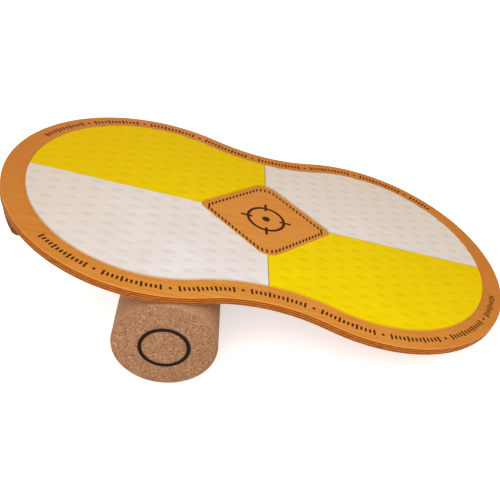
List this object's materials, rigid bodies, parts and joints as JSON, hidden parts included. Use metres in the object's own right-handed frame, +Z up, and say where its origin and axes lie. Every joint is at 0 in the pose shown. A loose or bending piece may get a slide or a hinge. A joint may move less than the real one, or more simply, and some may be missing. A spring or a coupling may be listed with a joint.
{
  "type": "rola bola balance board",
  "caption": "Peanut-shaped plywood balance deck with textured foam grip pads and crescent end stops, leaning on a cork roller.",
  "frame": {"origin": "on the floor, under the middle of the whole object's box, as it stands at rest with the deck leaning on the roller and its right end on the floor", "axes": "+Z up from the floor; +X along the deck towards its low end; +Y across the deck towards the back, along the roller"},
  "size_m": [0.7402, 0.4426, 0.2107],
  "materials": {
    "ply_long": "clear satin varnish on long-grain plywood veneer",
    "ply_cross": "clear satin varnish on dark cross-grain plywood veneer",
    "foam_yellow": "matt closed-cell foam with an embossed grip pattern, yellow",
    "foam_white": "matt closed-cell foam with an embossed grip pattern, off-white",
    "stop_wood": "satin varnished reddish-brown wood",
    "screw_steel": "zinc-plated steel",
    "cork": "pressed cork granules, sanded and unsealed",
    "ink": "matt dark brown print"
  },
  "bodies": {
    "deck": {"deck_ply_1": "ply_long", "deck_ply_2": "ply_cross", "deck_ply_3": "ply_long", "deck_ply_4": "ply_cross", "deck_ply_5": "ply_long", "deck_ply_6": "ply_cross", "deck_ply_7": "ply_long", "grip_pad_back_left": "foam_yellow", "grip_pad_back_right": "foam_white", "grip_pad_front_left": "foam_white", "grip_pad_front_right": "foam_yellow", "end_stop_left": "stop_wood", "stop_screw_left_front": "screw_steel", "stop_screw_left_middle": "screw_steel", "stop_screw_left_back": "screw_steel", "end_stop_right": "stop_wood", "stop_screw_right_front": "screw_steel", "stop_screw_right_middle": "screw_steel", "stop_screw_right_back": "screw_steel"},
    "roller_mark": {"roller_end_ring": "ink"},
    "roller": {"cork_roller": "cork"}
  },
  "joints": [
    {"name": "roller_travel", "type": "slide", "parent": "deck", "child": "roller_mark", "axis": [0.971, 0, -0.2389], "range_m": [-0.152, 0.384]},
    {"name": "roller_spin", "type": "hinge", "parent": "roller_mark", "child": "roller", "pos_m": [-0.13063, 0, 0.06896], "axis": [0, 1, 0], "range_deg": [-320, 127]}
  ],
  "couplings": [
    {"joint": "roller_spin", "follows": "roller_travel", "rad_per_m": -14.493}
  ]
}
